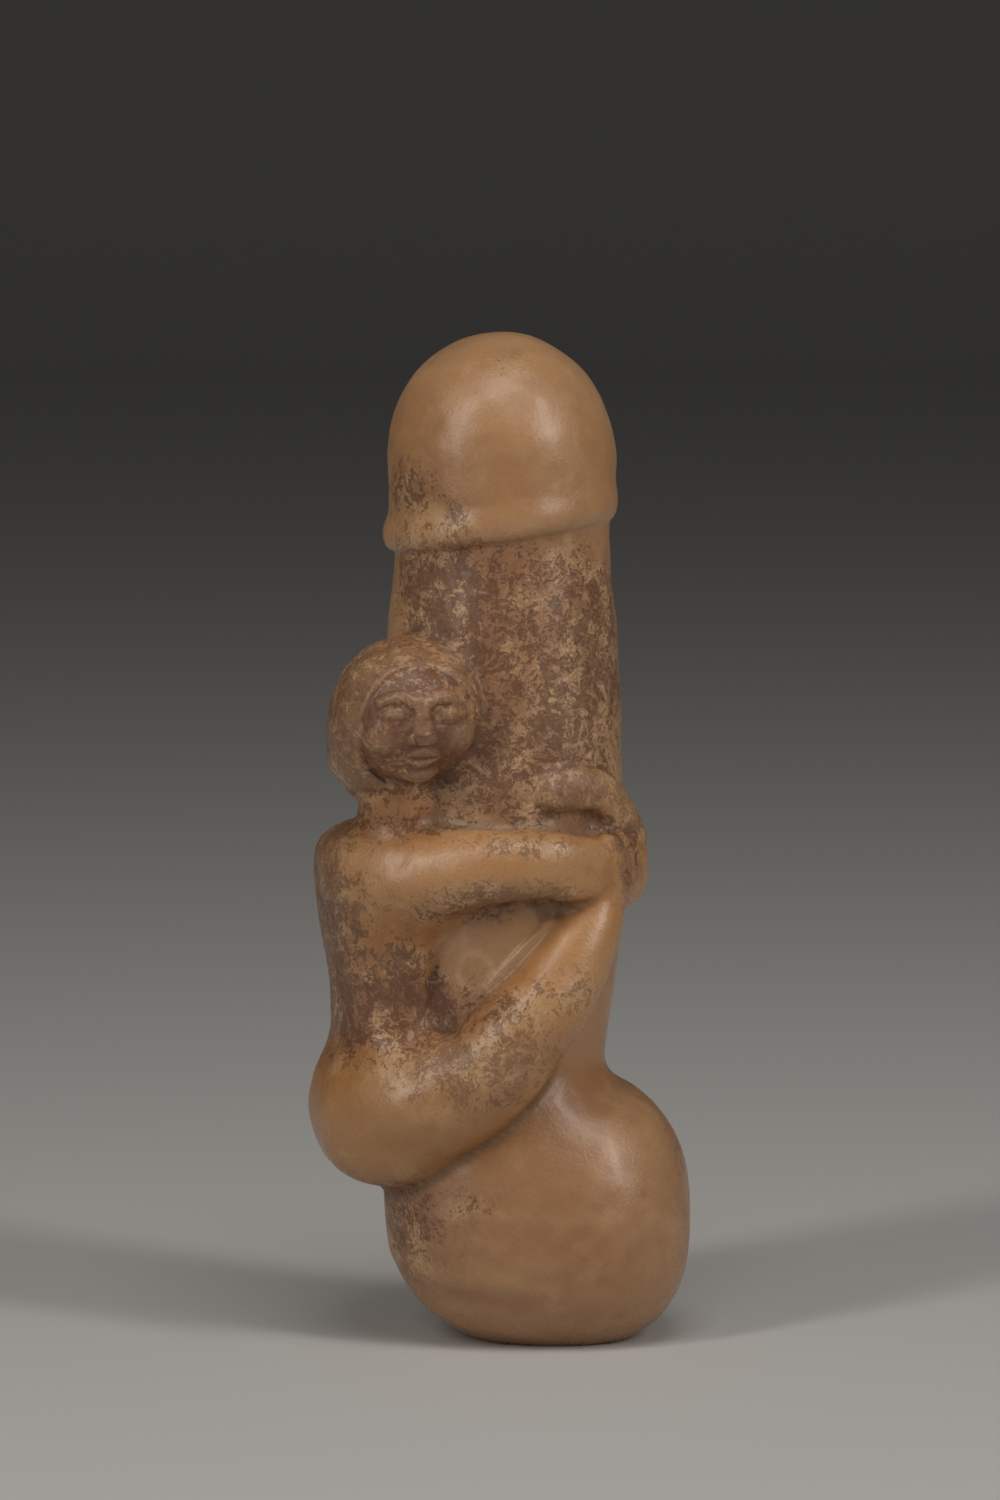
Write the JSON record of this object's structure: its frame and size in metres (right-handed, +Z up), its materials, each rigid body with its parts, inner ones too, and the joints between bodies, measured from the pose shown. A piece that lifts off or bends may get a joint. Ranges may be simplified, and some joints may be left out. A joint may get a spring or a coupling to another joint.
{
  "type": "stone phallic votive with clinging dwarf figure",
  "caption": "Upright stone votive carved in one piece: a rounded column with a rim and a bulbous foot, and a small dwarf figure clinging to its side.",
  "frame": {"origin": "middle of the flat oval on the underside, on which the piece stands", "axes": "+Z up along the column, -X towards the figure's back, -Y towards the side on which the figure's face looks"},
  "size_m": [0.0831, 0.0727, 0.219],
  "materials": {
    "polished_stone": "hand-rubbed waxy polish over honey-brown stone, with dark reddish-brown pitted mottling"
  },
  "bodies": {
    "root": {"votive_figure": "polished_stone"}
  },
  "joints": []
}
